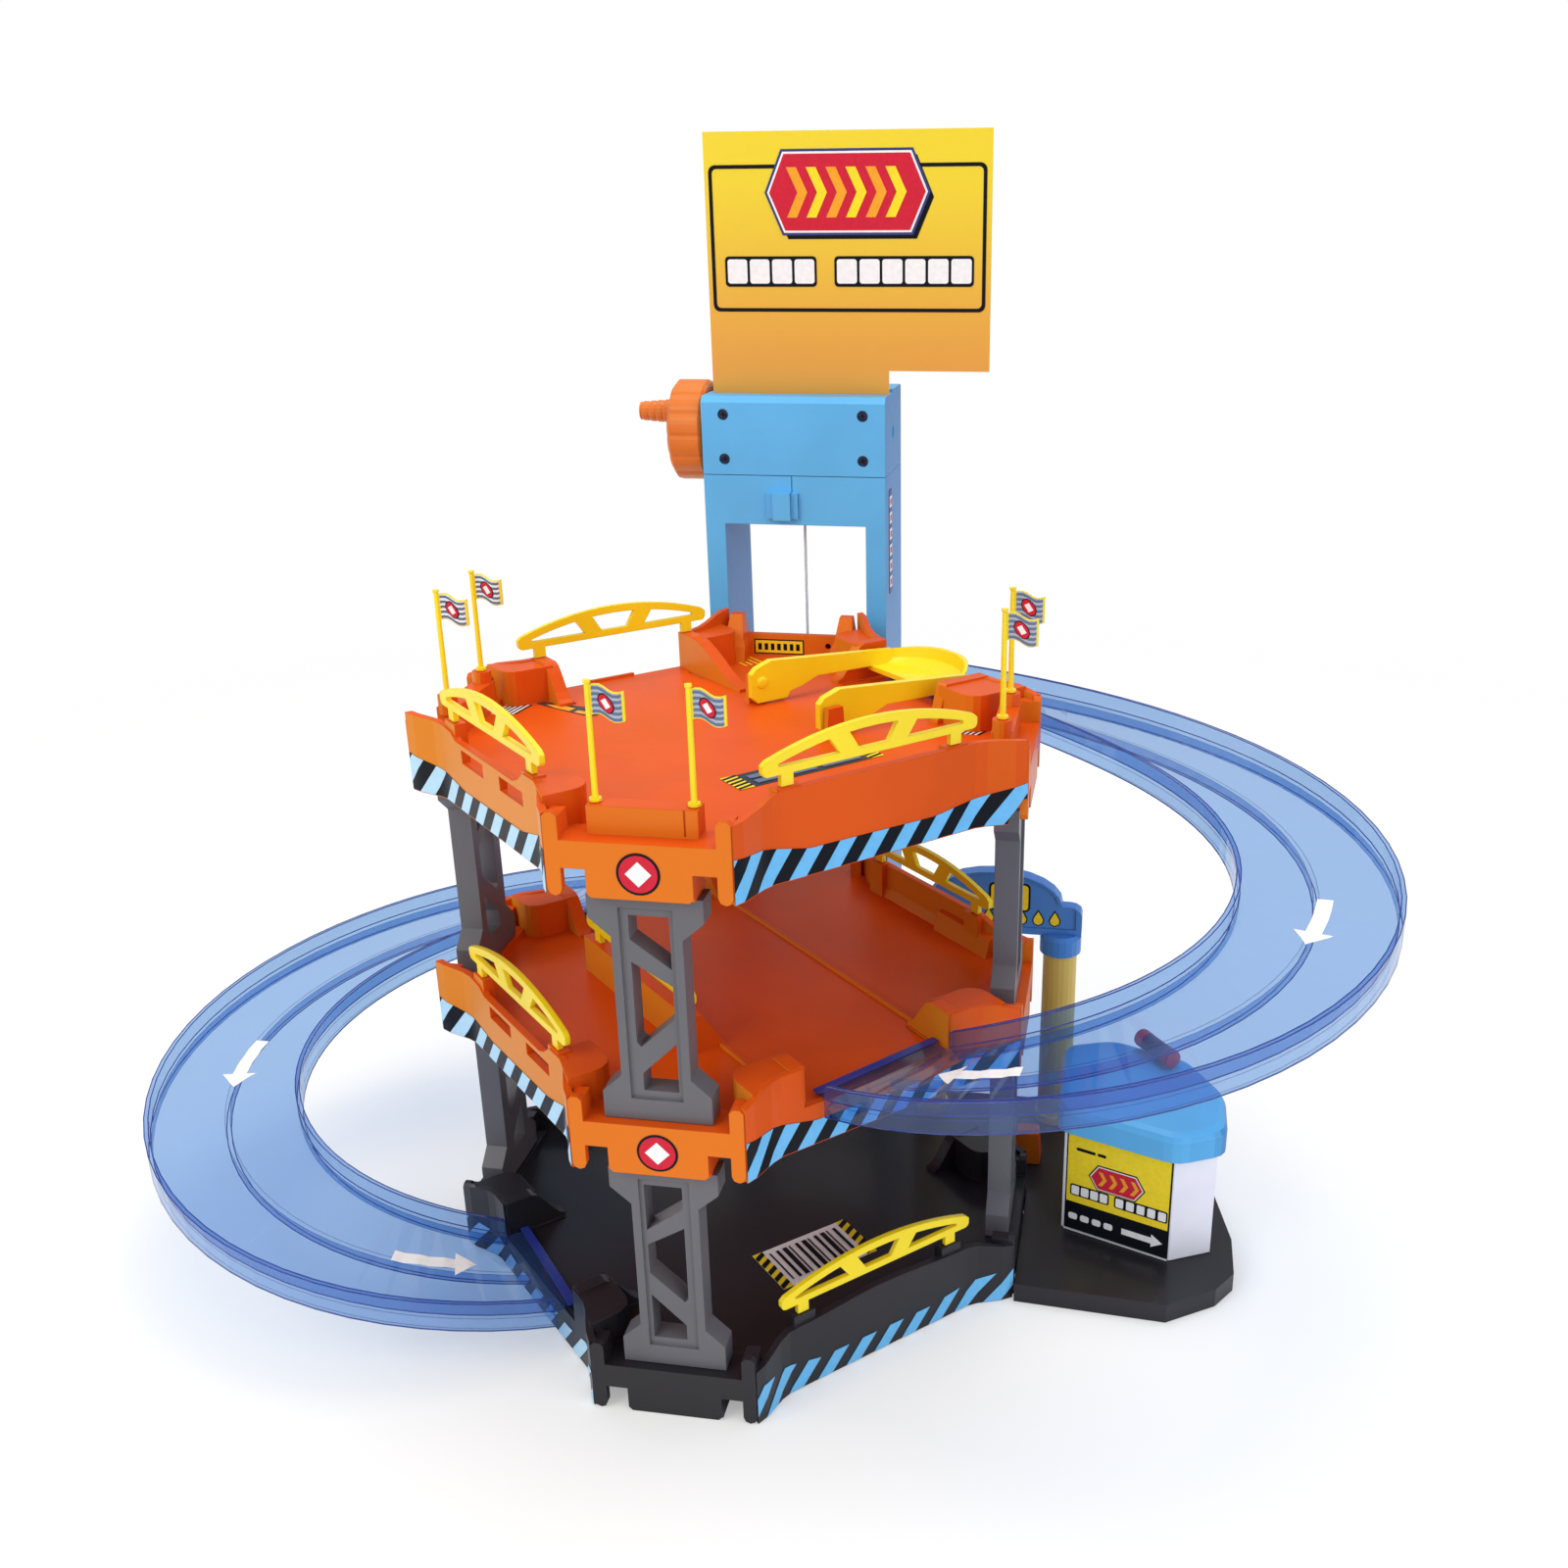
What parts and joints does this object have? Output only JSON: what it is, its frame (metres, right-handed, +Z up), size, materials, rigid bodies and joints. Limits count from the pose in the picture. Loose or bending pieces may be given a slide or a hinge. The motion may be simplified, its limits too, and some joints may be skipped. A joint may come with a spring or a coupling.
{
  "type": "toy parking garage",
  "caption": "Multi-level toy parking garage with octagonal decks on lattice posts, a cranked car lift, clear spiral tracks, a swinging gate, a booth and a car wash.",
  "frame": {"origin": "centre of the octagonal decks on the surface that the base stands on", "axes": "+Z up, +Y towards the lift tower at the back, +X to the right seen from the front"},
  "size_m": [0.5436, 0.3107, 0.473],
  "materials": {
    "orange_plastic": "glossy moulded plastic",
    "black_plastic": "satin black moulded plastic",
    "grey_plastic": "satin grey moulded plastic",
    "yellow_plastic": "glossy yellow moulded plastic",
    "light_blue_plastic": "light blue moulded plastic",
    "clear_blue_plastic": "clear tinted moulded plastic, smooth",
    "knob_plastic": "orange moulded plastic",
    "printed_card": "printed coated card",
    "white_string": "thin white twisted string",
    "pale_plastic": "pale lavender moulded plastic",
    "sign_blue_plastic": "dark blue moulded plastic",
    "tan_plastic": "tan moulded plastic",
    "red_plastic": "red moulded plastic"
  },
  "bodies": {
    "garage": {"base_deck": "black_plastic", "forecourt_plate": "black_plastic", "middle_deck": "orange_plastic", "top_deck": "orange_plastic", "right_track": "clear_blue_plastic", "left_track": "clear_blue_plastic", "lower_tower_frame": "light_blue_plastic", "upper_tower_frame": "light_blue_plastic", "winch_front_cover": "light_blue_plastic", "winch_back_cover": "light_blue_plastic", "booth_roof": "light_blue_plastic", "lift_string": "white_string", "sign_card": "printed_card", "booth_body": "pale_plastic", "roof_lamp": "red_plastic", "wash_left_column": "tan_plastic", "wash_right_column": "tan_plastic", "wash_sign": "sign_blue_plastic", "wash_kerb": "orange_plastic", "back_left_top_railing": "yellow_plastic", "back_right_middle_railing": "yellow_plastic", "front_left_middle_railing": "yellow_plastic", "front_left_top_railing": "yellow_plastic", "front_right_base_railing": "yellow_plastic", "front_right_top_railing": "yellow_plastic", "inner_middle_railing": "yellow_plastic", "front_flag_a": "yellow_plastic", "front_flag_b": "yellow_plastic", "right_flag_a": "yellow_plastic", "right_flag_b": "yellow_plastic", "left_flag_a": "yellow_plastic", "left_flag_b": "yellow_plastic", "front_lower_post": "grey_plastic", "front_upper_post": "grey_plastic", "right_lower_post": "grey_plastic", "right_upper_post": "grey_plastic", "left_lower_post": "grey_plastic", "left_upper_post": "grey_plastic"},
    "lift": {"lift_cage": "orange_plastic"},
    "winch": {"winch_drum": "grey_plastic", "crank_wheel": "knob_plastic", "crank_handle": "knob_plastic"},
    "gate": {"track_gate": "yellow_plastic"}
  },
  "joints": [
    {"name": "lift_slide", "type": "slide", "parent": "garage", "child": "lift", "axis": [0, 0, 1], "range_m": [0, 0.238], "deforming": ["lift_string"]},
    {"name": "crank_turn", "type": "hinge", "parent": "garage", "child": "winch", "pos_m": [0, 0.1566, 0.3415], "axis": [-1, 0, 0], "range_deg": [0, 1610]},
    {"name": "gate_swing", "type": "hinge", "parent": "garage", "child": "gate", "pos_m": [0.02334, 0.02334, 0.25025], "axis": [0.7071, -0.7071, 0], "range_deg": [0, 65]}
  ],
  "couplings": [
    {"joint": "crank_turn", "follows": "lift_slide", "rad_per_m": 117.65}
  ]
}
